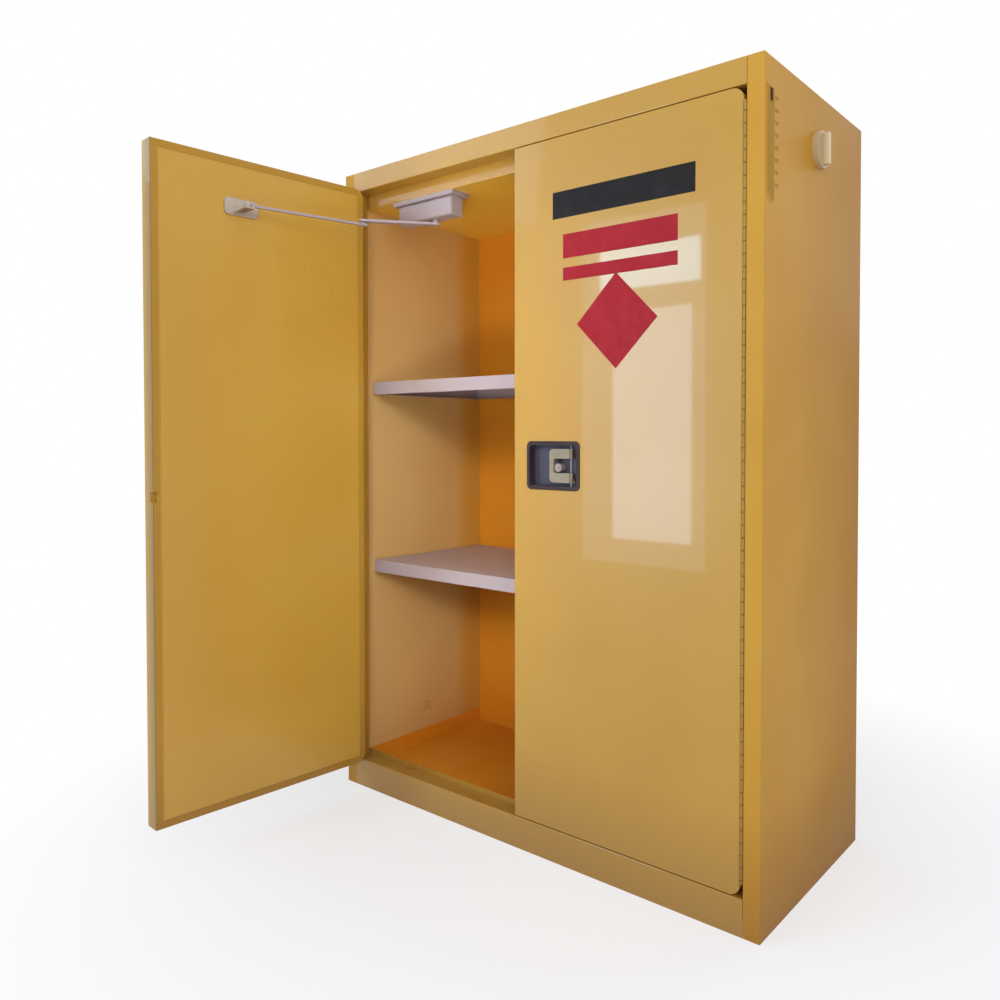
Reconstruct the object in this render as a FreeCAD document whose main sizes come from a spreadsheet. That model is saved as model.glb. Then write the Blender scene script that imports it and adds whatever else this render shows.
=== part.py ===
import FreeCAD, Part
import Sketcher
import math
import os
import re

# Two-door steel safety storage cabinet, in millimetres.
# The origin is the centre of the footprint on the floor. X runs right, the doors face -Y, Z is up.
# It stands as in use: left door open, right door closed.

V = FreeCAD.Vector
doc = FreeCAD.newDocument("safety_cabinet")

# ---------------------------------------------------------------- driving dimensions

DIMENSIONS = {
    # cabinet body
    "width": 1200, "depth": 530, "height": 1650, "sheet": 1.2, "wall": 38, "post": 35, "header": 53,
    "lip_drop": 35, "sill_rise": 10, "fold": 2.2, "crown": 1.0, "over": 1, "pan_level": 30,
    "tray_level": 45, "hem": 18, "rib_half": 30,
    # doors
    "door_bottom": 75, "door_gap": 2, "door_depth": 42, "stop_gap": 2, "meeting_gap": 3, "lip": 16,
    "panel_groove": 3, "open_angle": 94, "door_round": 24, "door_edge": 1,
    # piano hinges
    "hinge_half": 3, "leaf": 1.0, "leaf_depth": 32, "barrel": 2.8, "hinge_pin": 1.4, "pin_play": 0.1,
    "knuckle": 340, "knuckle_gap": 0.4, "tab_start": 2, "pin_over": 2, "hinge_short": 28,
    "leaf_step": 3.6,
    # shelves
    "upper_shelf": 1094, "lower_shelf": 605, "shelf_lip": 33, "shelf_front": 62, "shelf_back": 14,
    "shelf_side": 4, "shelf_return": 14, "clip_width": 24, "clip_tab": 16, "clip_rise": 26,
    "clip_inset": 60, "clip_sheet": 2,
    # vents
    "vent_mid": 262, "vent_drop": 26, "low_vent": 150, "vent_bore": 22, "vent_flange": 36.5,
    "vent_spigot": 24.6, "cap_radius": 37.5, "cap_out": 9, "cap_plug": 19, "grip_out": 13,
    "grip_width": 11, "grip_half": 32, "flange_out": 3, "screen_thick": 4, "cap_play": 0.3,
    "mesh_pitch": 9, "mesh_hole": 5,
    # feet and earthing
    "foot_inset": 75, "foot_radius": 22, "foot_pad": 8, "stem": 6, "stem_top": 40, "foot_block": 46,
    "foot_play": 0.4, "stem_clear": 1, "earth_neck": 5, "earth_head": 9, "earth_flat": 3,
    "earth_stud": 4, "earth_nut": 7, "earth_x": 120, "earth_level": 130, "earth_out": 24,
    # door closers
    "pivot_in": 234, "pivot_back": 75, "main_arm": 185.2, "fore_arm": 292.6, "shoe_out": 349.8,
    "shoe_back": 77.7, "closer_left": 118, "closer_right": 76, "closer_half": 23, "closer_tall": 48,
    "closer_plate": 10, "closer_round": 6, "closer_ear": 12, "closer_rim": 8, "spindle": 8,
    "spindle_deep": 20, "arm_gap": 14, "arm_thick": 6, "arm_half": 10, "arm_drop": 10, "fore_rod": 2.8,
    "fore_half": 5, "fore_eye": 9, "elbow_pin": 5, "elbow_end": 9, "eye_wall": 2, "slip": 0.3,
    "shoe_length": 84, "shoe_height": 40, "shoe_plate": 4, "shoe_pin": 4, "shoe_corner": 6,
    "shoe_rim": 3, "shoe_shelf": 5, "shoe_over": 3,
    # latch in the right door
    "dish_mid": 449.5, "dish_level": 882, "dish_length": 147, "dish_height": 108, "dish_corner": 12,
    "dish_soft": 1.5, "dish_inner_corner": 6, "dish_rim": 9, "dish_depth": 20, "dish_wall": 2,
    "dish_proud": 2.5, "dish_play": 0.5, "paddle_off": 44.5, "paddle_swing": 30, "paddle_pivot_back": 8,
    "paddle_pin": 2, "paddle_length": 55, "paddle_height": 74, "paddle_thick": 5, "paddle_face": 1,
    "paddle_spine": 11, "paddle_window": 32, "paddle_round": 10, "window_round": 5,
    "paddle_barrel": 4.5, "lever_drop": 32, "lever_reach": 20, "ball": 2.7, "ball_half": 2,
    "lever": 1.5, "slot_near": 5, "slot_far": 12, "slot_half": 5, "rocker_arm": 19.3, "rocker_gap": 1.5,
    "rocker_thick": 6, "rocker_half": 7, "rocker_pin": 3, "fork_play": 0.65, "layer_gap": 0.5,
    "tongue_thick": 6, "tongue_half": 8, "tongue_out": 9, "tongue_pin": 2.5, "tongue_tail": 10,
    "tongue_bevel": 6, "tongue_nose": 1, "slot_rise": 1.5, "fork_tip": 4, "fork_root": 4.5,
    "rocker_web": 5, "lock_off": 11.5, "lock_drop": 4, "lock_housing": 9, "housing_face": 3, "plug": 5,
    "plug_tail": 2.4, "plug_neck": 3.5, "plug_face": 1.5, "cam_radius": 14, "cam_gap": 1,
    "cam_thick": 4, "cam_throw": 10, "cam_pin": 2.5, "yoke_gap": 2, "yoke_thick": 5, "yoke_play": 0.4,
    "yoke_width": 12, "yoke_height": 18, "rod_radius": 5, "rod_short": 1.5, "rod_play": 0.5,
    "strike_play": 1.0, "guide_width": 26, "guide_height": 14, "guide_inset": 97, "guide_off": 170,
    "guide_wall": 2, "strike_length": 44, "ledge_split": 14, "strike_thick": 3, "case_gap": 1,
    "case_thick": 1.5, "case_left": 62.5, "case_right": 63.5, "case_down": 86, "case_up": 43,
    "staple_off": 36.5, "staple_half": 5, "staple_wall": 3, "bar_up": 66, "bar_down": 92,
    "yoke_clear": 0.7, "turn_slot": 0.5, "turn_deep": 3, "turn_half": 3.5, "keeper_deep": 12,
    "keeper_half": 11, "keeper_gap": 2,
    # toothed strip on the right side panel
    "strip_back": 8, "strip_width": 52, "strip_top": 54, "strip_length": 218, "strip_slope": 22,
    "strip_thick": 1.5, "tooth": 9, "tooth_deep": 5, "tooth_pitch": 23, "slot_back": 15, "slot_wide": 5,
    "slot_drop": 6, "slot_tall": 23,
}

# Places that follow from the driving dimensions; door distances are measured from the hinge pin.
PLACES = {
    "door_top": "height - header", "header_lip": "door_top - lip_drop", "sill_lip": "door_bottom + sill_rise",
    "high_vent": "header_lip - vent_drop", "closer_high": "header_lip - closer_plate",
    "closer_low": "closer_high - closer_tall", "arm_level": "closer_low - arm_gap",
    "paddle_pivot": "dish_mid - paddle_off", "lever_level": "dish_level - lever_drop",
    "lock_mid": "dish_mid - lock_off", "lock_level": "dish_level - lock_drop",
    "rocker_throw": "lever_reach * sin(paddle_swing) / 2", "dish_back": "dish_depth + dish_wall",
    "rocker_front": "dish_back + rocker_gap", "tongue_front": "rocker_front + rocker_thick + layer_gap",
    "yoke_front": "dish_back + yoke_gap", "cam_front": "yoke_front + yoke_thick + cam_gap",
    "case_back": "tongue_front + tongue_thick + case_gap", "case_near": "dish_mid - case_right",
    "case_far": "dish_mid + case_left", "case_low": "dish_level - case_down",
    "case_high": "dish_level + case_up", "staple_at": "dish_mid + staple_off",
    "keeper_front": "tongue_front - keeper_gap",
}

dims = doc.addObject("Spreadsheet::Sheet", "Dims")
for row, (word, number) in enumerate(DIMENSIONS.items(), start=1):
    dims.set(f"A{row}", word)
    dims.set(f"B{row}", str(number))
    dims.setAlias(f"B{row}", word)
doc.recompute()


def linked(text):
    """An expression in plain words as the document needs it: places spelled out, dimensions prefixed."""
    def spell(match):
        word = match.group(0)
        if word in PLACES:
            return f"({linked(PLACES[word])})"
        return "Dims." + word if word in DIMENSIONS else word
    return re.sub(r"[a-z][a-z_]+", spell, text)


def size(expression):
    """The number that a dimension, a place or an expression in them comes to."""
    return float(dims.evalExpression(linked(expression)))


# Expressions used again and again.
FRONT = "(-depth / 2)"
STOP = "(door_depth + stop_gap)"
PIN_INSET = "(post + hinge_half)"
DOOR_EDGE = f"(width / 2 - {PIN_INSET} - meeting_gap / 2)"
LINER_BACK = "(depth - wall)"
LINER_TOP = "header_lip"
OPENING_TOP = "(door_top + door_gap)"
OPENING_BOTTOM = "(door_bottom - door_gap)"
NODES = []


# ---------------------------------------------------------------- helpers

def keep(piece, label, placement=None):
    """Names a finished sub-part, places it and lists it for export."""
    piece.Label = label
    if placement is not None:
        piece.Placement = placement
    NODES.append(piece)
    return piece


def box(x, y, z, name="slab"):
    """A block between three pairs of expressions."""
    piece = doc.addObject("Part::Box", name)
    for side, axis, (low, high) in (("Length", "x", x), ("Width", "y", y), ("Height", "z", z)):
        piece.setExpression(side, linked(f"({high}) - ({low})"))
        piece.setExpression(f"Placement.Base.{axis}", linked(low))
    return piece


AXES = {"x": V(1, 0, 0), "y": V(0, 1, 0), "z": V(0, 0, 1)}


def laid(piece, axis, at, start, stop):
    """Stands a piece along one axis, from start to stop, through the two other coordinates in at."""
    piece.setExpression("Height", linked(f"({stop}) - ({start})"))
    piece.Placement = FreeCAD.Placement(V(), FreeCAD.Rotation(V(0, 0, 1), AXES[axis]))
    others = [letter for letter in "xyz" if letter != axis]
    for letter, place in zip(others, at):
        piece.setExpression(f"Placement.Base.{letter}", linked(place))
    piece.setExpression(f"Placement.Base.{axis}", linked(start))
    return piece


def rod(axis, radius, at, start, stop):
    """A cylinder along one axis."""
    piece = doc.addObject("Part::Cylinder", "round")
    piece.setExpression("Radius", linked(radius))
    return laid(piece, axis, at, start, stop)


def prism(axis, sides, radius, at, start, stop):
    """A regular prism along one axis, its corners at the radius."""
    piece = doc.addObject("Part::Prism", "prism")
    piece.Polygon = sides
    piece.setExpression("Circumradius", linked(radius))
    return laid(piece, axis, at, start, stop)


def joined(*pieces):
    """One solid from several that touch or overlap."""
    if len(pieces) == 1:
        return pieces[0]
    result = doc.addObject("Part::MultiFuse", "joined")
    result.Shapes = list(pieces)
    result.Refine = True
    return result


def cut(base, *tools):
    """The base less every tool."""
    result = doc.addObject("Part::Cut", "cut")
    result.Base = base
    result.Tool = joined(*tools)
    return result


def group(*pieces):
    """Separate solids that share one node."""
    result = doc.addObject("Part::Compound", "group")
    result.Links = list(pieces)
    return result


def along(*directions):
    """Chooses the straight edges that run along one of the directions."""
    def wanted(edge):
        line = edge.Curve
        if line.TypeId != "Part::GeomLine":
            return False
        return any(abs(line.Direction.dot(AXES[d])) > 0.999 for d in directions)
    return wanted


def lying(axis, level):
    """Chooses the edges that lie whole at one level of an axis."""
    def wanted(edge):
        box_ = edge.BoundBox
        ends = (getattr(box_, axis.upper() + "Min"), getattr(box_, axis.upper() + "Max"))
        return max(abs(end - level) for end in ends) < 1e-4
    return wanted


def edged(kind, base, reach, wanted):
    doc.recompute()
    amount = size(reach)
    result = doc.addObject(kind, "edged")
    result.Base = base
    result.Edges = [(i, amount, amount) for i, edge in enumerate(base.Shape.Edges, start=1)
                    if all(choose(edge) for choose in wanted)]
    return result


def rounded(base, radius, *wanted):
    """The base with every edge that all the choosers want rounded."""
    return edged("Part::Fillet", base, radius, wanted)


def bevelled(base, reach, *wanted):
    """The base with every edge that all the choosers want cut back."""
    return edged("Part::Chamfer", base, reach, wanted)


def folded(body, radius, *wanted):
    """Rounds the chosen edges of the body's last feature, as a bend in its sheet."""
    doc.recompute()
    base = body.Tip
    names = [f"Edge{i}" for i,
             edge in enumerate(base.Shape.Edges, start=1) if all(choose(edge) for choose in wanted)]
    bend = body.newObject("PartDesign::Fillet", "bend")
    bend.Base = (base, names)
    bend.setExpression("Radius", linked(radius))


PLANES = {"x": ("YZ_Plane", 1), "y": ("XZ_Plane", -1), "z": ("XY_Plane", 1)}


def sketch(body, axis, outlines, level):
    """Closed outlines of expression pairs, square to the axis, at a level along it."""
    drawing = blank_sketch(body, axis, level)
    for outline in outlines:
        count = len(outline)
        first = drawing.GeometryCount
        turns = [2 * math.pi * i / count for i in range(count)]
        start = [V(math.cos(turn), math.sin(turn), 0) for turn in turns]
        for i in range(count):
            drawing.addGeometry(Part.LineSegment(start[i], start[(i + 1) % count]))
        for i, (across, up) in enumerate(outline):
            following = first + (i + 1) % count
            drawing.addConstraint(Sketcher.Constraint("Coincident", first + i, 2, following, 1))
            hold(drawing, "DistanceX", first + i, 1, start[i].x, across)
            hold(drawing, "DistanceY", first + i, 1, start[i].y, up)
    return drawing


def blank_sketch(body, axis, level):
    role, sign = PLANES[axis]
    plane = [item for item in body.Origin.OriginFeatures if item.Role == role][0]
    drawing = body.newObject("Sketcher::SketchObject", "outline")
    drawing.AttachmentSupport = [(plane, "")]
    drawing.MapMode = "FlatFace"
    drawing.setExpression(".AttachmentOffset.Base.z", linked(level if sign > 0 else f"-({level})"))
    return drawing


def hold(drawing, kind, item, point, value, place):
    """Holds a point of the sketch at a distance from the origin, given by an expression."""
    index = drawing.addConstraint(Sketcher.Constraint(kind, -1, 1, item, point, value))
    drawing.setExpression(f"Constraints[{index}]", linked(place))


def circles(body, axis, centre, radii, level):
    """Concentric circles about a centre given by two expressions."""
    drawing = blank_sketch(body, axis, level)
    for radius in radii:
        item = drawing.addGeometry(Part.Circle(V(1, 1, 0), V(0, 0, 1), 1.0))
        hold(drawing, "DistanceX", item, 3, 1.0, centre[0])
        hold(drawing, "DistanceY", item, 3, 1.0, centre[1])
        index = drawing.addConstraint(Sketcher.Constraint("Radius", item, 1.0))
        drawing.setExpression(f"Constraints[{index}]", linked(radius))
    return drawing


def corners(first, second):
    """The four corners of a rectangle from two pairs of expressions."""
    (a, b), (c, d) = first, second
    return [(a, c), (b, c), (b, d), (a, d)]


def new_body(label, placement=None):
    body = doc.addObject("PartDesign::Body", "Body")
    keep(body, label, placement)
    return body


def first_level(axis, start, stop, adding):
    """The level a pad or pocket is drawn at, so that it fills start..stop from its sketch."""
    return start if (PLANES[axis][1] > 0) == adding else stop


def feature(body, kind, drawing, start, stop):
    piece = body.newObject(f"PartDesign::{kind}", kind.lower())
    piece.Profile = drawing
    piece.setExpression("Length", linked(f"({stop}) - ({start})"))
    return piece


def pad(body, axis, outlines, start, stop):
    """Adds the outlines' prism between two levels along the axis."""
    drawing = sketch(body, axis, outlines, first_level(axis, start, stop, True))
    return feature(body, "Pad", drawing, start, stop)


def pocket(body, axis, outlines, start, stop):
    """Removes the outlines' prism between two levels along the axis."""
    drawing = sketch(body, axis, outlines, first_level(axis, start, stop, False))
    return feature(body, "Pocket", drawing, start, stop)


def ring(body, axis, centre, radii, start, stop):
    """Adds a disc, or a ring where two radii are given."""
    drawing = circles(body, axis, centre, radii, first_level(axis, start, stop, True))
    return feature(body, "Pad", drawing, start, stop)


def bore(body, axis, centre, radius, start, stop):
    """Removes a round hole between two levels along the axis."""
    drawing = circles(body, axis, centre, [radius], first_level(axis, start, stop, False))
    return feature(body, "Pocket", drawing, start, stop)


def span(side, near, far):
    """A pair of X expressions for a piece that lies near..far from a datum, mirrored on the right side."""
    return (near, far) if side > 0 else (f"-({far})", f"-({near})")


def around(middle, half):
    """A pair of expressions the same way either side of a middle."""
    return (f"{middle} - ({half})", f"{middle} + ({half})")


def from_side(side, near, far):
    """X expressions of a stretch measured inwards from the cabinet's left (1) or right (-1) outer face."""
    return span(side, f"-width / 2 + {near}", f"-width / 2 + {far}")


def back(distance):
    """Y expression of a place measured from the front face."""
    return f"{FRONT} + {distance}"


SIDES = (("left", 1), ("right", -1))


def vent_centre(side):
    """Y and Z of a vent: high in the right side, low in the left one."""
    return back("vent_mid"), "high_vent" if side < 0 else "low_vent"


def vent_outline(side):
    """Square hole that keeps a vent's spigot from turning."""
    y, z = vent_centre(side)
    return corners(around(y, "vent_spigot"), around(z, "vent_spigot"))


# ---------------------------------------------------------------- cabinet shell

def side_panel(word, side):
    """Outer side sheet folded round into the front post and the door jamb."""
    def across(distance):
        return from_side(side, distance, distance)[0]
    body = new_body(f"{word}_side_panel")
    section = [("0", "0"), ("post", "0"), ("post", STOP), ("post - sheet", STOP), ("post - sheet", "sheet"),
               ("sheet", "sheet"), ("sheet", "depth - sheet"), ("0", "depth - sheet")]
    pad(body, "z", [[(across(x), back(y)) for x, y in section]], "0", "height - sheet")
    for corner in ("0", "post"):
        folded(body, "fold", along("z"), lying("x", size(across(corner))), lying("y", size(FRONT)))
    for corner in ("sheet", "post - sheet"):
        folded(body, "fold - sheet", along("z"), lying("x", size(across(corner))),
               lying("y", size(back("sheet"))))
    pocket(body, "x", [vent_outline(side)], *from_side(side, "-over", "sheet + over"))


def side_liner(word, side):
    """Inner side sheet, with a flange that closes the wall behind the jamb."""
    def across(distance):
        return from_side(side, distance, distance)[0]
    body = new_body(f"{word}_liner")
    section = [("post - sheet", STOP), ("wall", STOP), ("wall", LINER_BACK), ("wall - sheet", LINER_BACK),
               ("wall - sheet", f"{STOP} + sheet"), ("post - sheet", f"{STOP} + sheet")]
    pad(body, "z", [[(across(x), back(y)) for x, y in section]], "sill_lip", LINER_TOP)
    pocket(body, "x", [vent_outline(side)], *from_side(side, "wall - sheet - over", "wall + over"))


def front_rail(outer, ledge, inner_ledge):
    """Front strip and the fore part of the ledge over or under the doors, folded from one sheet."""
    body = doc.addObject("PartDesign::Body", "Body")
    section = [("0", outer), ("0", ledge), ("ledge_split", ledge), ("ledge_split", inner_ledge),
               ("sheet", inner_ledge), ("sheet", outer)]
    pad(body, "x", [[(back(y), z) for y, z in section]], "-width / 2 + post", "width / 2 - post")
    folded(body, "fold", lying("y", size(FRONT)), lying("z", size(ledge)))
    folded(body, "fold - sheet", lying("y", size(back("sheet"))), lying("z", size(inner_ledge)))
    return body


def rail(label, outer, ledge, lip, inner_ledge, rod_place):
    """Folded front strip, and behind it the stop lip and the rest of the ledge, broken at the strike."""
    levels = sorted((ledge, inner_ledge), key=size)
    lip_levels = sorted((lip, ledge), key=size)
    x = from_pin(rod_place)
    stop = box(("-width / 2 + post", "width / 2 - post"), (back(STOP), back(f"{STOP} + sheet")), lip_levels)
    lengths = [box(reach, (back("ledge_split"), back(f"{STOP} + sheet")), levels)
               for reach in (("-width / 2 + post", f"{x} - strike_length / 2"),
                             (f"{x} + strike_length / 2", "width / 2 - post"))]
    keep(group(front_rail(outer, ledge, inner_ledge), stop, *lengths), label)


ROD_BACK = "(yoke_front + yoke_thick / 2)"
YOKE_MID = "(plug_neck + yoke_clear + yoke_width / 2)"
UPPER_ROD = f"(lock_mid - {YOKE_MID})"
LOWER_ROD = f"(lock_mid + {YOKE_MID})"


def from_pin(distance):
    """World X of a place on the closed right door, measured from its hinge pin."""
    return f"width / 2 - {PIN_INSET} - ({distance})"


def shell():
    for word, side in SIDES:
        side_panel(word, side)
    top = new_body("top_panel")
    pad(top, "z", [corners(("-width / 2", "width / 2"), (FRONT, "depth / 2"))], "height - sheet", "height")
    for word, side in SIDES:
        hem = corners(from_side(side, "sheet", "2 * sheet"), (back("fold"), "depth / 2 - sheet"))
        pad(top, "z", [hem], "height - hem", "height - sheet")
    folded(top, "crown", lying("z", size("height")))
    rear = new_body("rear_panel")
    pad(rear, "y", [corners(("-width / 2", "width / 2"), ("0", "height - sheet"))], "depth / 2 - sheet",
        "depth / 2")
    bore(rear, "y", ("-width / 2 + earth_x", "earth_level"), "earth_neck", "depth / 2 - sheet - over",
         "depth / 2 + over")
    base = new_body("base_pan")
    inside = ("-width / 2 + sheet", "width / 2 - sheet")
    pad(base, "z", [corners(inside, (back(STOP), "depth / 2 - sheet"))], "pan_level", "pan_level + sheet")
    for word, side in SIDES:
        hem = corners(from_side(side, "sheet", "2 * sheet"), (back(STOP), "depth / 2 - sheet"))
        pad(base, "z", [hem], "pan_level - hem", "pan_level")
    holes = [corners(around(x, "stem + stem_clear"), around(y, "stem + stem_clear")) for x,
             y in foot_places()]
    pocket(base, "z", holes, "pan_level - over", "pan_level + sheet + over")
    stiffener = new_body("base_stiffener")
    web = [("-rib_half", "0"), ("rib_half", "0"), ("rib_half", "pan_level"),
           ("rib_half - sheet", "pan_level"),
           ("rib_half - sheet", "sheet"), ("-rib_half + sheet", "sheet"), ("-rib_half + sheet",
                                                                           "pan_level"),
           ("-rib_half", "pan_level")]
    pad(stiffener, "y", [web], back("sheet"), "depth / 2 - sheet")
    rail("header_rail", "height - sheet", OPENING_TOP, "header_lip", f"{OPENING_TOP} + sheet", UPPER_ROD)
    rail("sill_rail", "0", OPENING_BOTTOM, "sill_lip", f"{OPENING_BOTTOM} - sheet", LOWER_ROD)


def linings():
    for word, side in SIDES:
        side_liner(word, side)
    inside = ("-width / 2 + wall - sheet", "width / 2 - wall + sheet")
    rear = new_body("rear_liner")
    pad(rear, "y", [corners(inside, ("sill_lip", LINER_TOP))], back(LINER_BACK),
        back(f"{LINER_BACK} + sheet"))
    ceiling = new_body("ceiling_liner")
    pad(ceiling, "z", [corners(inside, (back(f"{STOP} + sheet"), back(f"{LINER_BACK} + sheet")))],
        LINER_TOP,
        f"{LINER_TOP} + sheet")
    tray = new_body("sump_tray")
    pad(tray, "z", [corners(inside, (back(f"{STOP} + sheet"), back(f"{LINER_BACK} + sheet")))],
        "tray_level",
        "sill_lip")
    hollow = corners(("-width / 2 + wall", "width / 2 - wall"),
                     (back(f"{STOP} + 2 * sheet"), back(LINER_BACK)))
    pocket(tray, "z", [hollow], "tray_level + sheet", "sill_lip")


def strikes():
    """Plates with the holes that the lock rods enter, each filling the break in a ledge."""
    plates = []
    half = "rod_radius + strike_play"
    y = back(ROD_BACK)
    for rod_place, low in ((UPPER_ROD, OPENING_TOP), (LOWER_ROD, f"{OPENING_BOTTOM} - strike_thick")):
        x = from_pin(rod_place)
        plate = box(around(x, "strike_length / 2"), (back("ledge_split"), back(f"{STOP} + sheet")),
                    (low, f"{low} + strike_thick"))
        hole = box(around(x, half), around(y, half), (f"{low} - over", f"{low} + strike_thick + over"))
        plates.append(cut(plate, hole))
    keep(group(*plates), "rod_strikes")


def side_strip():
    """Toothed strip on the right side panel beside its front fold, slotted at the top and pointed below."""
    body = new_body("side_strip")
    near, far = back("fold + strip_back"), back("fold + strip_back + strip_width")
    top = "height - strip_top"
    middle = back("fold + strip_back + slot_back")
    shoulder = f"{top} - strip_length + strip_slope"
    outline = [(near, shoulder), (middle, f"{top} - strip_length"), (far, shoulder), (far, top),
               (near, top)]
    levels = ("width / 2", "width / 2 + strip_thick")
    pad(body, "x", [outline], *levels)
    slot = corners(around(middle, "slot_wide / 2"),
                   (f"{top} - slot_drop - slot_tall", f"{top} - slot_drop"))
    pocket(body, "x", [slot], levels[0], f"{levels[1]} + over")
    notch = corners((f"{far} - tooth_deep", f"{far} + over"),
                    (f"{top} - tooth_pitch", f"{top} - tooth_pitch + tooth"))
    first = pocket(body, "x", [notch], levels[0], f"{levels[1]} + over")
    row = body.newObject("PartDesign::LinearPattern", "teeth")
    row.Originals = [first]
    axis = [item for item in body.Origin.OriginFeatures if item.Role == "Z_Axis"][0]
    row.Direction = (axis, [""])
    row.Reversed = True
    count = int(size("(strip_length - strip_slope) / tooth_pitch"))
    row.Occurrences = count
    row.setExpression("Length", linked(f"tooth_pitch * {count - 1}"))
    body.Tip = row


# ---------------------------------------------------------------- shelves

SHELVES = (("upper", "upper_shelf"), ("lower", "lower_shelf"))


def shelf(word, level):
    """A tray shelf: top sheet, four turned-down sides and a return under each side."""
    body = new_body(f"{word}_shelf")
    x = ("-width / 2 + wall + shelf_side", "width / 2 - wall - shelf_side")
    y = (back("shelf_front"), back(f"{LINER_BACK} - shelf_back"))
    pad(body, "z", [corners(x, y)], f"{level} - shelf_lip", level)
    inner_x = (f"{x[0]} + sheet", f"{x[1]} - sheet")
    inner_y = (f"{y[0]} + sheet", f"{y[1]} - sheet")
    pocket(body, "z", [corners(inner_x, inner_y)], f"{level} - shelf_lip", f"{level} - sheet")
    mouth = corners((f"{x[0]} + shelf_return", f"{x[1]} - shelf_return"),
                    (f"{y[0]} + shelf_return", f"{y[1]} - shelf_return"))
    pad(body, "z", [corners(inner_x, inner_y), mouth], f"{level} - shelf_lip",
        f"{level} - shelf_lip + sheet")


def shelf_clips():
    """Angle clips on the side liners: a leg in the gap beside the shelf and a tab under it."""
    clips = []
    for _, level in SHELVES:
        under = f"{level} - shelf_lip"
        for _, side in SIDES:
            for middle in (back("shelf_front + clip_inset"),
                           back(f"{LINER_BACK} - shelf_back - clip_inset")):
                y = around(middle, "clip_width / 2")
                leg = box(from_side(side, "wall", "wall + clip_sheet"), y,
                          (f"{under} - clip_sheet", f"{under} + clip_rise"))
                tab = box(from_side(side, "wall", "wall + clip_tab"), y, (f"{under} - clip_sheet", under))
                clips.append(joined(leg, tab))
    keep(group(*clips), "shelf_clips")


# ---------------------------------------------------------------- vents, feet, earthing

def vents():
    flanges = []
    screens = []
    for word, side in SIDES:
        centre = vent_centre(side)
        flange = prism("x", 12, "vent_flange", centre, *from_side(side, "-flange_out", "0"))
        spigot = box(from_side(side, "-flange_out", "wall"), around(centre[0], "vent_spigot"),
                     around(centre[1], "vent_spigot"))
        passage = rod("x", "vent_bore", centre, *from_side(side, "-flange_out - over", "wall + over"))
        flanges.append(cut(joined(flange, spigot), passage))
        screens.append(vent_screen(side, centre))
        vent_cap(word, side, centre)
    keep(group(*flanges), "vent_flanges")
    keep(group(*screens), "vent_screens")


MESH = ((-1, -1), (-1, 0), (-1, 1), (0, -1), (0, 0), (0, 1), (1, -1), (1, 0), (1, 1))


def vent_screen(side, centre):
    """Flame screen: a twelve-sided plate across the tube, pierced by a square mesh of holes."""
    y, z = centre
    wide = from_side(side, "wall - screen_thick - over", "wall + over")
    holes = [box(wide, around(f"{y} + mesh_pitch * {i}", "mesh_hole / 2"),
                 around(f"{z} + mesh_pitch * {j}", "mesh_hole / 2")) for i, j in MESH]
    return cut(prism("x", 12, "vent_bore", centre, *from_side(side, "wall - screen_thick", "wall")), *holes)


def vent_cap(word, side, centre):
    """Bung cap: a disc over the flange, a plug in the tube and an upright bar to turn it by."""
    y, z = centre
    face = "(flange_out + cap_play)"
    disc = rod("x", "cap_radius", centre, *from_side(side, f"-{face} - cap_out", f"-{face}"))
    plug = prism("x", 12, "vent_bore - cap_play", centre, *from_side(side, f"-{face}", "cap_plug"))
    grip = box(from_side(side, f"-{face} - cap_out - grip_out", f"-{face} - cap_out"),
               around(y, "grip_width / 2"), around(z, "grip_half"))
    keep(joined(disc, plug, grip), f"{word}_vent_cap")


def foot_places():
    xs = ("-width / 2 + foot_inset", "width / 2 - foot_inset")
    ys = (back("foot_inset"), back("depth - foot_inset"))
    return [(x, y) for y in ys for x in xs]


def feet():
    blocks = []
    for label, (x, y) in zip(("front_left", "front_right", "rear_left", "rear_right"), foot_places()):
        foot_pad = prism("z", 6, "foot_radius", (x, y), "0", "foot_pad")
        stem = rod("z", "stem", (x, y), "foot_pad", "stem_top")
        keep(joined(foot_pad, stem), f"{label}_foot")
        block = box((f"{x} - foot_block / 2", f"{x} + foot_block / 2"),
                    (f"{y} - foot_block / 2", f"{y} + foot_block / 2"), ("pan_level - hem", "pan_level"))
        blocks.append(cut(block,
                          rod("z", "stem + foot_play", (x, y), "pan_level - hem - over",
                              "pan_level + over")))
    keep(group(*blocks), "foot_blocks")


def earthing():
    """Bolt through the rear panel: head inside, hexagon nut and bare thread outside."""
    place = ("-width / 2 + earth_x", "earth_level")
    inside, outside = "depth / 2 - sheet", "depth / 2"
    head = prism("y", 6, "earth_head", place, f"{inside} - earth_flat", inside)
    neck = rod("y", "earth_neck", place, inside, outside)
    thread = rod("y", "earth_stud", place, outside, f"{outside} + earth_out")
    nut = prism("y", 6, "earth_nut", place, outside, f"{outside} + earth_nut")
    keep(joined(head, neck, thread, nut), "earth_stud_and_nut")


# ---------------------------------------------------------------- piano hinges

def pin_place(side):
    """World place of a door's hinge pin."""
    inset = size("post") + size("hinge_half")
    return V(-side * (size("width") / 2 - inset), -size("depth") / 2, 0)


def frame_frame(side):
    return FreeCAD.Placement(pin_place(side), FreeCAD.Rotation())


def door_frame(side):
    """The door's own frame: pin at the origin, turned where the door stands open."""
    turn = -size("open_angle") if side > 0 else 0
    return FreeCAD.Placement(pin_place(side), FreeCAD.Rotation(V(0, 0, 1), turn))


HINGE_LOW = "(door_bottom + hinge_short)"
HINGE_HIGH = "(door_top - hinge_short)"


def knuckle_count():
    """An odd number of knuckles, so that both ends belong to the frame."""
    length = size("door_top") - size("door_bottom") - 2 * size("hinge_short")
    return 2 * round(length / size("knuckle") / 2) + 1


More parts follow.
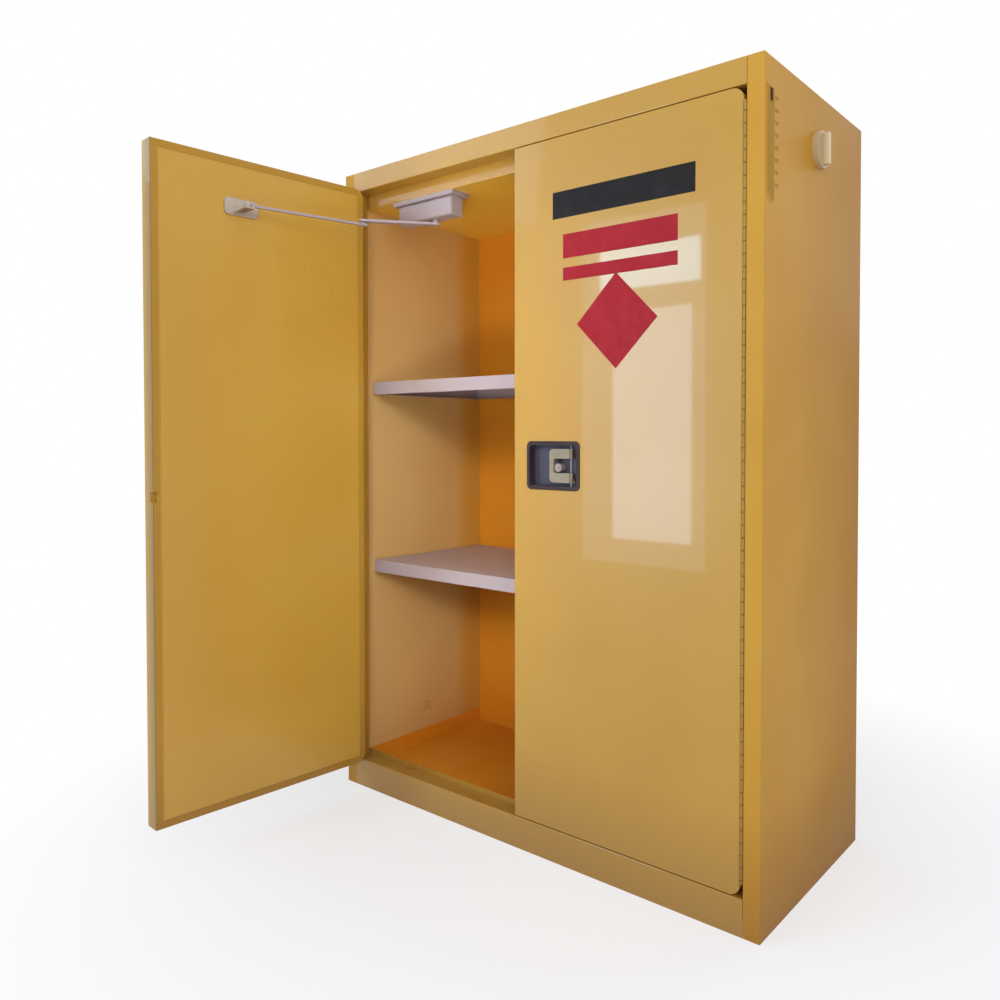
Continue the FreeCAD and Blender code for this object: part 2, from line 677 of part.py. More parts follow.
def hinge_leaf(label, side, placement, on_door):
    """A leaf with its share of the rolled knuckles, interleaved with the other leaf's."""
    count = knuckle_count()
    pitch = f"(({HINGE_HIGH} - {HINGE_LOW}) / {count})"
    toward = side if on_door else -side
    plate_x = span(toward, "hinge_half - leaf", "hinge_half")
    body = new_body(label, placement)
    pad(body, "z", [corners(plate_x, ("leaf_step", "leaf_depth"))], HINGE_LOW, HINGE_HIGH)
    low = f"{HINGE_LOW} + {pitch} * {1 if on_door else 0}"
    high = f"{low} + {pitch} - knuckle_gap"
    tab_x = span(toward, "tab_start", "hinge_half")
    tab = pad(body, "z", [corners(tab_x, ("0", "leaf_step + leaf"))], low, high)
    roll = ring(body, "z", ("0", "0"), ["barrel", "hinge_pin + pin_play"], low, high)
    copies = body.newObject("PartDesign::LinearPattern", "knuckles")
    copies.Originals = [tab, roll]
    axis = [item for item in body.Origin.OriginFeatures if item.Role == "Z_Axis"][0]
    copies.Direction = (axis, [""])
    shown = (count + 1) // 2 - (1 if on_door else 0)
    copies.Occurrences = shown
    copies.setExpression("Length", linked(f"{pitch} * {2 * (shown - 1)}"))
    body.Tip = copies


def hinges():
    for word, side in SIDES:
        hinge_leaf(f"{word}_hinge_frame_leaf", side, frame_frame(side), False)
        hinge_leaf(f"{word}_hinge_door_leaf", side, door_frame(side), True)
        pin = rod("z", "hinge_pin", ("0", "0"), f"{HINGE_LOW} - pin_over", f"{HINGE_HIGH} + pin_over")
        keep(group(pin), f"{word}_hinge_pin", frame_frame(side))


# ---------------------------------------------------------------- doors

PIVOT_Z = "(lever_level - sqrt(rocker_arm ^ 2 - rocker_throw ^ 2))"
ROCKER_U = "(paddle_pivot + rocker_throw)"
TONGUE_Z = f"({PIVOT_Z} - (rocker_arm + sqrt(rocker_arm ^ 2 - rocker_throw ^ 2)) / 2)"


def door_block(side, inset, back_to_front):
    """A block the size of the door less an inset, with its two corners on the hinge side rounded."""
    block = box(span(side, f"hinge_half + {inset}", f"{DOOR_EDGE} - ({inset})"), back_to_front,
                (f"door_bottom + {inset}", f"door_top - ({inset})"))
    return rounded(block, f"door_round - ({inset})", along("y"),
                   lying("x", side * size(f"hinge_half + {inset}")))


def door_skin(word, side, cuts):
    """Outer pan: front sheet, four walls and a lip round the back."""
    outer = bevelled(door_block(side, "0", ("0", "door_depth")), "door_edge", lying("y", 0))
    hollow = door_block(side, "sheet", ("sheet", "door_depth - sheet"))
    mouth = box(span(side, "hinge_half + lip", f"{DOOR_EDGE} - lip"), ("sheet", "door_depth + over"),
                ("door_bottom + lip", "door_top - lip"))
    keep(cut(outer, hollow, mouth, *cuts), f"{word}_door_skin", door_frame(side))


def door_panel(word, side, cuts):
    """Inner panel: a flange under the pan's lip and a raised field in its mouth."""
    flange = door_block(side, "sheet", ("door_depth - 2 * sheet", "door_depth - sheet"))
    inset = "lip + panel_groove"
    field = box(span(side, f"hinge_half + {inset}", f"{DOOR_EDGE} - ({inset})"),
                ("door_depth - sheet", "door_depth"),
                (f"door_bottom + {inset}", f"door_top - ({inset})"))
    panel = joined(flange, field)
    keep(cut(panel, *cuts) if cuts else panel, f"{word}_door_panel", door_frame(side))


def doors():
    notch = box((f"{DOOR_EDGE} - keeper_deep", f"{DOOR_EDGE} + over"),
                ("keeper_front", "door_depth + over"),
                around(TONGUE_Z, "keeper_half"))
    door_skin("left", 1, [notch])
    door_panel("left", 1, [notch])
    keeper()
    door_skin("right", -1, right_door_cuts())
    door_panel("right", -1, [])


def keeper():
    """Channel behind the notch in the left door's edge, open at the back to shut over the tongue."""
    block = box((f"{DOOR_EDGE} - keeper_deep - sheet", f"{DOOR_EDGE} - sheet"),
                ("keeper_front - sheet", "door_depth - 2 * sheet"), around(TONGUE_Z, "keeper_half + sheet"))
    hollow = box((f"{DOOR_EDGE} - keeper_deep", DOOR_EDGE), ("keeper_front", "door_depth"),
                 around(TONGUE_Z, "keeper_half"))
    keep(cut(block, hollow), "left_door_keeper", door_frame(1))


def right_door_cuts():
    """Openings in the right pan for the latch dish, the tongue and the two lock rods."""
    tub = "dish_rim - dish_wall - dish_play"
    dish = box(span(-1, f"dish_mid - dish_length / 2 + {tub}", f"dish_mid + dish_length / 2 - ({tub})"),
               ("-over", "sheet + over"), around("dish_level", f"dish_height / 2 - ({tub})"))
    slot = box(span(-1, f"{DOOR_EDGE} - sheet - over", f"{DOOR_EDGE} + over"),
               around("tongue_front + tongue_thick / 2", "tongue_thick / 2 + slip"),
               around(TONGUE_Z, "tongue_half + slip"))
    half = "rod_radius + rod_play"
    upper = box(around(at_u(UPPER_ROD), half), around(ROD_BACK, half),
                ("door_top - sheet - over", "door_top + over"))
    lower = box(around(at_u(LOWER_ROD), half), around(ROD_BACK, half),
                ("door_bottom - over", "door_bottom + sheet + over"))
    return [dish, slot, upper, lower]


# ---------------------------------------------------------------- latch in the right door

RIGHT_DOOR = door_frame(-1)
ROCKER_REST = math.degrees(math.asin(size("rocker_throw / rocker_arm")))
CAM_OFF = "(cam_throw * cos(45))"


def at_u(distance):
    """Local X on the right door of a distance from its hinge pin."""
    return f"-({distance})"


def dish_outline(inset):
    return (span(-1, f"dish_mid - dish_length / 2 + {inset}", f"dish_mid + dish_length / 2 - ({inset})"),
            around("dish_level", f"dish_height / 2 - ({inset})"))


def latch_dish():
    """Moulded recess: a rim on the door's face and a tub behind it, bored for key plug and lever."""
    x, z = dish_outline("0")
    rim = rounded(box(x, ("-dish_proud", "0"), z), "dish_corner", along("y"))
    rim = bevelled(rim, "dish_soft", lying("y", -size("dish_proud")))
    x, z = dish_outline("dish_rim - dish_wall")
    tub = box(x, ("-dish_proud", "dish_back"), z)
    x, z = dish_outline("dish_rim")
    hollow = rounded(box(x, ("-dish_proud - over", "dish_depth"), z), "dish_inner_corner", along("y"))
    slot = box(span(-1, "paddle_pivot - slot_near", "paddle_pivot + slot_far"),
               ("dish_depth - over", "dish_back + over"),
               around("lever_level", "slot_half"))
    hole = rod("y", "plug + pin_play", (at_u("lock_mid"), "lock_level"), "dish_depth - over",
               "dish_back + over")
    keep(cut(joined(rim, tub), hollow, slot, hole), "latch_dish", RIGHT_DOOR)
    pin = rod("z", "paddle_pin", (at_u("paddle_pivot"), "paddle_pivot_back"),
              "dish_level - dish_height / 2 + dish_rim", "dish_level + dish_height / 2 - dish_rim")
    keep(group(pin), "paddle_pin", RIGHT_DOOR)
    collar = rod("y", "lock_housing", (at_u("lock_mid"), "lock_level"), "housing_face", "dish_depth")
    inner = rod("y", "plug + pin_play", (at_u("lock_mid"), "lock_level"), "0", "dish_depth + over")
    keep(cut(collar, inner), "lock_housing", RIGHT_DOOR)


def paddle():
    """C-shaped handle open towards its pivot, with two barrels on the pin and a lever behind."""
    face = ("paddle_face", "paddle_face + paddle_thick")
    plate = box(span(-1, "paddle_pivot", "paddle_pivot + paddle_length"), face,
                around("dish_level", "paddle_height / 2"))
    plate = rounded(plate, "paddle_round", along("y"), lying("x", -size("paddle_pivot + paddle_length")))
    barrel = rod("z", "paddle_barrel", (at_u("paddle_pivot"), "paddle_pivot_back"),
                 "dish_level - paddle_height / 2", "dish_level + paddle_height / 2")
    spine = "paddle_pivot + paddle_length - paddle_spine"
    window = box(span(-1, "paddle_pivot - paddle_barrel - over", spine),
                 ("paddle_face - over", "paddle_pivot_back + paddle_barrel + over"),
                 around("dish_level", "paddle_window / 2"))
    window = rounded(window, "window_round", along("y"), lying("x", -size(spine)))
    lever = box(around(at_u("paddle_pivot"), "lever"),
                ("paddle_pivot_back", "paddle_pivot_back + lever_reach"),
                around("lever_level", "lever"))
    tip = rod("z", "ball", (at_u("paddle_pivot"), "paddle_pivot_back + lever_reach"),
              "lever_level - ball_half",
              "lever_level + ball_half")
    hole = rod("z", "paddle_pin + pin_play", (at_u("paddle_pivot"), "paddle_pivot_back"),
               "dish_level - paddle_height / 2 - over", "dish_level + paddle_height / 2 + over")
    keep(cut(joined(cut(joined(plate, barrel), window), lever, tip), hole), "paddle", RIGHT_DOOR)


def rocker():
    """Two-armed plate that turns the paddle's pull into the tongue's slide, drawn about its own pivot."""
    thick = ("rocker_front", "rocker_front + rocker_thick")
    hub = rod("y", "rocker_half", ("0", "0"), *thick)
    web = box(("-rocker_web", "rocker_web"), thick, ("-rocker_arm - rocker_web", "rocker_arm - fork_root"))
    fork = box(("-rocker_half", "rocker_half"), thick, ("rocker_half", "rocker_arm + fork_tip"))
    pin = rod("y", "tongue_pin", ("0", "-rocker_arm"), thick[1], "tongue_front + tongue_thick")
    slot = box(("-ball - fork_play", "ball + fork_play"), ("rocker_front - over", f"{thick[1]} + over"),
               ("rocker_arm - fork_root", "rocker_arm + fork_tip + over"))
    hole = rod("y", "rocker_pin + pin_play", ("0", "0"), "rocker_front - over", f"{thick[1]} + over")
    pivot = V(-size(ROCKER_U), 0, size(PIVOT_Z))
    placement = RIGHT_DOOR.multiply(FreeCAD.Placement(pivot, FreeCAD.Rotation(AXES["y"], ROCKER_REST)))
    keep(cut(joined(hub, web, fork, pin), slot, hole), "rocker", placement)


def tongue():
    """Flat bolt with a bevelled tip, moved by the rocker's pin in its slot."""
    body = new_body("latch_tongue", RIGHT_DOOR)
    tail = at_u(f"{ROCKER_U} + rocker_throw - tongue_tail")
    tip = f"{DOOR_EDGE} + tongue_out"
    far = "tongue_front + tongue_thick"
    outline = [(tail, "tongue_front"), (at_u(tip), "tongue_front"),
               (at_u(tip), "tongue_front + tongue_nose"),
               (at_u(f"{tip} - tongue_bevel"), far), (tail, far)]
    pad(body, "z", [outline], f"{TONGUE_Z} - tongue_half", f"{TONGUE_Z} + tongue_half")
    slot = corners(around(at_u(f"{ROCKER_U} + rocker_throw"), "tongue_pin + fork_play"),
                   around(TONGUE_Z, "tongue_pin + slot_rise"))
    pocket(body, "y", [slot], "tongue_front - over", f"{far} + over")


def latch_case():
    """Back plate of the latch, with flanges on the dish, the rocker's stud and the tongue's staple."""
    plate = box(span(-1, "case_near", "case_far"), ("case_back", "case_back + case_thick"),
                ("case_low", "case_high"))
    reach = ("dish_back", "case_back")
    rise = ("dish_level - dish_height / 2 + dish_rim", "case_high")
    near = box(span(-1, "case_near", "case_near + case_thick"), reach, rise)
    far = box(span(-1, "case_far - case_thick", "case_far"), reach, rise)
    stud = rod("y", "rocker_pin", (at_u(ROCKER_U), PIVOT_Z), "rocker_front - over", "case_back")
    staple = box(around(at_u("staple_at"), "staple_half"), ("tongue_front - staple_wall", "case_back"),
                 around(TONGUE_Z, "tongue_half + staple_wall"))
    passage = box(around(at_u("staple_at"), "staple_half + over"),
                  ("tongue_front - slip", "tongue_front + tongue_thick + slip"),
                  around(TONGUE_Z, "tongue_half + slip"))
    keep(joined(plate, near, far, stud, cut(staple, passage)), "latch_case", RIGHT_DOOR)


def key_plug():
    """Lock plug with its tail, the cam disc and the two cam pins."""
    at = (at_u("lock_mid"), "lock_level")
    barrel = rod("y", "plug", at, "plug_face", "dish_back")
    tail = box(around(at[0], "plug_tail"), ("dish_back", "cam_front"), around(at[1], "plug_tail"))
    cam = prism("y", 8, "cam_radius", at, "cam_front", "cam_front + cam_thick")
    pins = []
    for sign in ("-", "+"):
        place = (at_u(f"lock_mid {sign} {CAM_OFF}"), f"lock_level {sign} {CAM_OFF}")
        pins.append(rod("y", "cam_pin", place, "yoke_front", "cam_front"))
    slot = box(around(at[0], "turn_slot"), ("plug_face - over", "plug_face + turn_deep"),
               around(at[1], "turn_half"))
    keep(cut(joined(barrel, tail, cam, *pins), slot), "key_plug", RIGHT_DOOR)


def lock_rod(label, middle, sign, bar_end, rod_end):
    """A round rod on a flat bar whose yoke takes the cam pin; sign is + above the lock and - below it."""
    flat = ("yoke_front", "yoke_front + yoke_thick")
    opposite = "-" if sign == "+" else "+"
    pin_level = f"lock_level {opposite} {CAM_OFF}"
    start = f"({pin_level} {opposite} yoke_height / 2)"
    ends = (start, bar_end) if sign == "+" else (bar_end, start)
    bar = box(around(at_u(middle), "yoke_width / 2"), flat, ends)
    ends = (bar_end, rod_end) if sign == "+" else (rod_end, bar_end)
    shaft = rod("z", "rod_radius", (at_u(middle), ROD_BACK), *ends)
    reach = ("lock_mid - cam_throw - cam_pin - yoke_play", "lock_mid")
    if sign == "-":
        reach = ("lock_mid", "lock_mid + cam_throw + cam_pin + yoke_play")
    notch = box(span(-1, *reach), ("yoke_front - over", "yoke_front + yoke_thick + over"),
                around(pin_level, "cam_pin + yoke_play"))
    keep(group(cut(bar, notch), shaft), label, RIGHT_DOOR)


def lock_rods():
    lock_rod("upper_lock_rod", UPPER_ROD, "+", "lock_level + bar_up", "door_top - rod_short")
    lock_rod("lower_lock_rod", LOWER_ROD, "-", "lock_level - bar_down", "door_bottom + rod_short")
    guides = []
    for middle, levels in ((UPPER_ROD, ("lock_level + guide_off", "door_top - guide_inset")),
                           (LOWER_ROD, ("lock_level - guide_off", "door_bottom + guide_inset"))):
        for level in levels:
            block = box(around(at_u(middle), "guide_width / 2"),
                        ("sheet", f"{ROD_BACK} + rod_radius + guide_wall"),
                        around(level, "guide_height / 2"))
            window = box(around(at_u(middle), "rod_radius + slip"), around(ROD_BACK, "rod_radius + slip"),
                         around(level, "guide_height / 2 + over"))
            guides.append(cut(block, window))
    keep(group(*guides), "rod_guides", RIGHT_DOOR)


# ---------------------------------------------------------------- door closers

def elbow(opening, bend):
    """Where the two arms meet, as inward and backward distances from the hinge pin."""
    turn = math.radians(opening)
    pivot = V(size("pivot_in"), size("pivot_back"), 0)
    out, depth = size("shoe_out"), size("shoe_back")
    shoe = V(out * math.cos(turn) + depth * math.sin(turn), depth * math.cos(turn) - out * math.sin(turn),
             0)
    line = shoe - pivot
    main, fore = size("main_arm"), size("fore_arm")
    along = (main ** 2 - fore ** 2 + line.Length ** 2) / (2 * line.Length)
    beside = math.sqrt(main ** 2 - along ** 2)
    line.normalize()
    return pivot + line * along + V(-line.y, line.x, 0) * beside * bend, pivot, shoe


def aimed(start, end, side):
    """Placement of an arm drawn along +X, from one point of the closer's plan to another."""
    begin = pin_place(side) + V(side * start.x, start.y, 0)
    heading = V(side * (end.x - start.x), end.y - start.y, 0)
    return FreeCAD.Placement(begin,
                             FreeCAD.Rotation(AXES["z"], math.degrees(math.atan2(heading.y, heading.x))))


def closer(word, side, opening, bend):
    """Overhead closer: case under the ceiling, two arms and the shoe on the door."""
    meet, pivot, shoe = elbow(opening, bend)
    top = "arm_level + arm_thick"
    case = rounded(box(span(side, "-closer_left", "closer_right"), ("-closer_half", "closer_half"),
                       ("closer_low", "closer_high")), "closer_round", along("x", "z"))
    plate = box(span(side, "-closer_left - closer_ear", "closer_right + closer_ear"),
                ("-closer_half - closer_rim", "closer_half + closer_rim"),
                ("closer_high", "header_lip"))
    hole = rod("z", "spindle + pin_play", ("0", "0"), "closer_low - over",
               "closer_low + spindle_deep + over")
    place = FreeCAD.Placement(pin_place(side) + V(side * pivot.x, pivot.y, 0), FreeCAD.Rotation())
    keep(cut(joined(case, plate), hole), f"{word}_closer_case", place)

    bar = box(("0", "main_arm + elbow_end"), ("-arm_half", "arm_half"), ("arm_level", top))
    end = rod("z", "arm_half", ("0", "0"), "arm_level", top)
    shaft = rod("z", "spindle", ("0", "0"), top, "closer_low + spindle_deep")
    keep(joined(bar, end, shaft), f"{word}_main_arm", aimed(pivot, meet, side))

    low = "arm_level - arm_drop"
    high = f"{low} + arm_thick"
    eye = rod("z", "fore_eye", ("0", "0"), low, high)
    bar = box(("shoe_pin + eye_wall", "fore_arm"), ("-fore_half", "fore_half"),
              around(f"{low} + arm_thick / 2", "fore_rod"))
    end = box(around("fore_arm", "elbow_end"), ("-fore_eye", "fore_eye"), (low, high))
    stud = rod("z", "elbow_pin", ("fore_arm", "0"), high, "arm_level - slip")
    hole = rod("z", "shoe_pin + pin_play", ("0", "0"), f"{low} - over", f"{high} + over")
    keep(cut(joined(eye, bar, end, stud), hole), f"{word}_fore_arm", aimed(shoe, meet, side))

    base = box(span(side, "shoe_out - shoe_length / 2", "shoe_out + shoe_length / 2"),
               ("door_depth", "door_depth + shoe_plate"), around(f"{low} + arm_thick / 2",
                                                                 "shoe_height / 2"))
    base = bevelled(base, "shoe_corner", along("y"))
    ledge = box(span(side, "shoe_out - fore_eye - shoe_rim", "shoe_out + fore_eye + shoe_rim"),
                ("door_depth", "shoe_back + fore_eye"), (f"{low} - slip - shoe_shelf", f"{low} - slip"))
    pin = rod("z", "shoe_pin", (span(side, "shoe_out", "shoe_out")[0], "shoe_back"), f"{low} - slip",
              f"{high} + shoe_over")
    keep(joined(base, ledge, pin), f"{word}_closer_shoe", door_frame(side))


# ---------------------------------------------------------------- build, check and write

shell()
linings()
strikes()
side_strip()
for word, level in SHELVES:
    shelf(word, level)
shelf_clips()
vents()
feet()
earthing()
hinges()
doors()
latch_dish()
paddle()
rocker()
tongue()
latch_case()
key_plug()
lock_rods()
closer("left", 1, size("open_angle"), -1)
closer("right", -1, 0, 1)
doc.recompute()

broken = [item.Label for item in doc.Objects if "Invalid" in item.State or "Error" in item.State]
broken += [item.Label for item in NODES if item.Shape.isNull() or not item.Shape.isValid()]
if broken:
    raise RuntimeError("failed: " + ", ".join(broken))
os.makedirs("parts", exist_ok=True)
for item in NODES:
    item.Shape.exportStep(os.path.join("parts", item.Label + ".step"))
print(len(NODES), "sub-parts written")
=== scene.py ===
import math
import bmesh
import bpy
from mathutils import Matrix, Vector

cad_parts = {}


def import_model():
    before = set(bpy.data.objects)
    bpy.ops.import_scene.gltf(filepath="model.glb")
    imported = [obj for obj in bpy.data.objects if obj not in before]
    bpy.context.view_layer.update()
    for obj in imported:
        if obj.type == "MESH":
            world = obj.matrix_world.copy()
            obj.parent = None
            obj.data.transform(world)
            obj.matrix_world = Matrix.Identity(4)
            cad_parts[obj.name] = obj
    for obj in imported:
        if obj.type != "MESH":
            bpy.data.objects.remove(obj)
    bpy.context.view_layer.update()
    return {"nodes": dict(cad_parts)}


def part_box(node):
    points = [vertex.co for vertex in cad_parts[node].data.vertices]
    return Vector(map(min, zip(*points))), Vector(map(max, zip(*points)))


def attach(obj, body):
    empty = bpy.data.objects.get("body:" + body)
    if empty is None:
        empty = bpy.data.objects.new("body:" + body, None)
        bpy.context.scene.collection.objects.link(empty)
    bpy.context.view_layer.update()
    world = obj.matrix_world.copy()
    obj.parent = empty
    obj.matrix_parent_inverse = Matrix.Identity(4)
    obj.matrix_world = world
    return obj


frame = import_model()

# Two-door safety storage cabinet: camera, light, floor, finishes and painted shade over the imported
# frame.
# Lengths are in metres. The front faces -Y, and x = 0 is the middle of the closed cabinet.

WIDTH, DEPTH = 1.2, 0.53
FRONT = -DEPTH / 2
SIDE = WIDTH / 2
PIN_INSET = 0.038
PIN = SIDE - PIN_INSET
WHITE = (1, 1, 1, 1)


# ---------------------------------------------------------------- camera and light

# The photograph's camera, fitted to the corners of the cabinet, the open door and the shelves.
CAMERA_PLACE = (1.2547, -1.7363, 0.95)
CAMERA_TILT, CAMERA_TURN = 88.75, 39.13
CAMERA_SHIFT = (-0.0336, -0.0467)
LENS_MM, SENSOR_MM = 30.47, 36.0
VIEW_REACH = 60.0

# The world lights softly, but shows as plain white.
STUDIO_TINT, STUDIO_STRENGTH = (0.98, 0.97, 1.0, 1), 0.42

# Name, place, target, size, power in watts, tint and, for some, the spread in degrees. The lamps
# casing, window_low and window_high make the window's reflection on the right door.
LAMPS = (
    ("key", (1.6, -4.2, 2.6), (0.0, -0.2, 0.9), (2.4, 1.8), 22, (1, 1, 1)),
    ("fill", (-3.4, -2.8, 3.3), (-0.2, -0.2, 0.9), (2.4, 1.6), 24, (0.55, 0.70, 1.0)),
    ("over", (0.3, -0.6, 4.2), (0.0, 0.0, 0.5), (3.0, 3.0), 34, (0.90, 0.88, 1.0)),
    ("side", (2.1, -1.5, 1.7), (0.2, -0.2, 0.9), (1.2, 1.2), 17, (1.0, 0.96, 0.92)),
    ("inside_high", (0.95, -2.2, 1.7), (-0.46, 0.1, 0.6), (0.5, 0.9), 0.68, (1.0, 0.96, 0.92), 20.0),
    ("inside_low", (0.85, -2.3, 0.35), (-0.42, 0.1, 1.45), (0.5, 0.9), 0.60, (1.0, 0.95, 0.88), 20.0),
    ("casing", (-2.02, -4.05, 1.25), (-2.02, 0.0, 1.25), (1.04, 2.60), 23, (0.66, 0.76, 1.0)),
    ("window_low", (-1.905, -4.0, 1.02), (-1.905, 0.0, 1.02), (0.65, 1.66), 31, (0.60, 0.80, 1.0)),
    ("window_high", (-1.93, -4.0, 2.16), (-1.93, 0.0, 2.16), (0.83, 0.30), 14, (0.45, 0.76, 1.0)),
    ("rear", (0.6, 4.4, 2.6), (0.0, 0.3, 0.9), (2.4, 2.0), 34, (1, 1, 1)),
)


def camera():
    bpy.context.scene.view_settings.view_transform = "Standard"
    data = bpy.data.cameras.new("view")
    data.lens = LENS_MM
    data.sensor_width = SENSOR_MM
    data.shift_x, data.shift_y = CAMERA_SHIFT
    data.clip_end = VIEW_REACH
    holder = bpy.data.objects.new("view", data)
    holder.location = CAMERA_PLACE
    holder.rotation_euler = (math.radians(CAMERA_TILT), 0.0, math.radians(CAMERA_TURN))
    bpy.context.scene.collection.objects.link(holder)
    bpy.context.scene.camera = holder


def area(name, place, target, size, power, tint, spread=180.0):
    data = bpy.data.lights.new(name, "AREA")
    data.spread = math.radians(spread)
    data.shape = "RECTANGLE"
    data.size, data.size_y = size
    data.energy = power
    data.color = tint
    lamp = bpy.data.objects.new(name, data)
    lamp.location = place
    aim = Vector(target) - Vector(place)
    lamp.rotation_euler = aim.to_track_quat("-Z", "Y").to_euler()
    bpy.context.scene.collection.objects.link(lamp)


def seen(tree):
    """One for the rays that show a background: camera, glossy and transmission rays."""
    ray = tree.nodes.new("ShaderNodeLightPath")
    total = ray.outputs["Is Camera Ray"]
    for kind in ("Is Glossy Ray", "Is Transmission Ray"):
        step = tree.nodes.new("ShaderNodeMath")
        step.operation = "MAXIMUM"
        tree.links.new(total, step.inputs[0])
        tree.links.new(ray.outputs[kind], step.inputs[1])
        total = step.outputs[0]
    return total


def background(tree, colour, strength):
    node = tree.nodes.new("ShaderNodeBackground")
    node.inputs["Color"].default_value = colour
    node.inputs["Strength"].default_value = strength
    return node.outputs[0]


def surface(tree, amount, first, second, out):
    """Mix two shaders by an amount and send the result to the output node."""
    node = tree.nodes.new("ShaderNodeMixShader")
    for number, source in enumerate((amount, first, second)):
        tree.links.new(source, node.inputs[number])
    tree.links.new(node.outputs[0], out.inputs["Surface"])


def world():
    setting = bpy.data.worlds.new("studio")
    setting.use_nodes = True
    tree = setting.node_tree
    tree.nodes.clear()
    out = tree.nodes.new("ShaderNodeOutputWorld")
    soft = background(tree, STUDIO_TINT, STUDIO_STRENGTH)
    white = background(tree, WHITE, 1.0)
    surface(tree, seen(tree), soft, white, out)
    bpy.context.scene.world = setting


# ---------------------------------------------------------------- material tools

class Nodes:
    """Shorthand for building one material's node tree."""

    def __init__(self, name):
        self.material = bpy.data.materials.new(name)
        self.material.use_nodes = True
        self.tree = self.material.node_tree
        self.tree.nodes.clear()
        self.out = self.tree.nodes.new("ShaderNodeOutputMaterial")
        self.shader = self.tree.nodes.new("ShaderNodeBsdfPrincipled")
        self.link(self.shader.outputs[0], self.out.inputs["Surface"])
        self.place = self.tree.nodes.new("ShaderNodeTexCoord").outputs["Object"]

    def link(self, source, socket):
        self.tree.links.new(source, socket)

    def feed(self, **sources):
        """Link outputs to the shader's inputs; an underscore stands for the space in a name."""
        for key, source in sources.items():
            self.link(source, self.shader.inputs[key.replace("_", " ")])

    def set(self, **values):
        """Set plain values of the shader's inputs, named as in feed."""
        for key, value in values.items():
            self.shader.inputs[key.replace("_", " ")].default_value = value

    def noise(self, scale, detail, rough=0.55, stretch=None):
        node = self.tree.nodes.new("ShaderNodeTexNoise")
        node.inputs["Scale"].default_value = scale
        node.inputs["Detail"].default_value = detail
        node.inputs["Roughness"].default_value = rough
        if stretch is None:
            self.link(self.place, node.inputs["Vector"])
        else:
            shape = self.tree.nodes.new("ShaderNodeMapping")
            shape.inputs["Scale"].default_value = stretch
            self.link(self.place, shape.inputs["Vector"])
            self.link(shape.outputs[0], node.inputs["Vector"])
        return node.outputs["Fac"]

    def span(self, value, old, new):
        """Map a value from the old range to the new one, held at its ends."""
        node = self.tree.nodes.new("ShaderNodeMapRange")
        for key, number in zip(("From Min", "From Max", "To Min", "To Max"), (*old, *new)):
            node.inputs[key].default_value = number
        self.link(value, node.inputs["Value"])
        return node.outputs["Result"]

    def ramp(self, value, *stops):
        """Colour by a value; each of the two stops is a place from 0 to 1 and its colour."""
        node = self.tree.nodes.new("ShaderNodeValToRGB")
        for element, (place, colour) in zip(node.color_ramp.elements, stops):
            element.position = place
            element.color = (*colour, 1)
        self.link(value, node.inputs["Fac"])
        return node.outputs["Color"]

    def mix(self, amount, tone, colour):
        """Blend a linked tone with a fixed colour."""
        node = self.tree.nodes.new("ShaderNodeMix")
        node.data_type = "RGBA"
        self.link(amount, node.inputs["Factor"])
        self.link(tone, node.inputs["A"])
        node.inputs["B"].default_value = (*colour, 1)
        return node.outputs["Result"]

    def bump(self, value, strength, distance, under=None):
        """Bump the shader's normal; under is the normal of a bump beneath this one."""
        node = self.tree.nodes.new("ShaderNodeBump")
        node.inputs["Strength"].default_value = strength
        node.inputs["Distance"].default_value = distance
        self.link(value, node.inputs["Height"])
        if under is not None:
            self.link(under, node.inputs["Normal"])
        self.feed(Normal=node.outputs[0])
        return node.outputs[0]

    def along(self, axis):
        """The coordinate along an axis, in the rest pose's frame."""
        node = self.tree.nodes.new("ShaderNodeSeparateXYZ")
        self.link(self.place, node.inputs[0])
        return node.outputs[axis]

    def size_of(self, value):
        node = self.tree.nodes.new("ShaderNodeMath")
        node.operation = "ABSOLUTE"
        self.link(value, node.inputs[0])
        return node.outputs[0]


# ---------------------------------------------------------------- kinds of material

# A darker, duller tone towards the floor: how high it reaches and its tint.
LOW_DARKENING_TOP = 0.24
LOW_DARKENING_TINT = (0.62, 0.58, 0.95)
RUB_SHARE = 0.08
COAT_IOR, PAINT_IOR = 1.36, 1.5
BRUSHED = (1.0, 1.0, 40.0)
ZONE_SHARE = 0.85


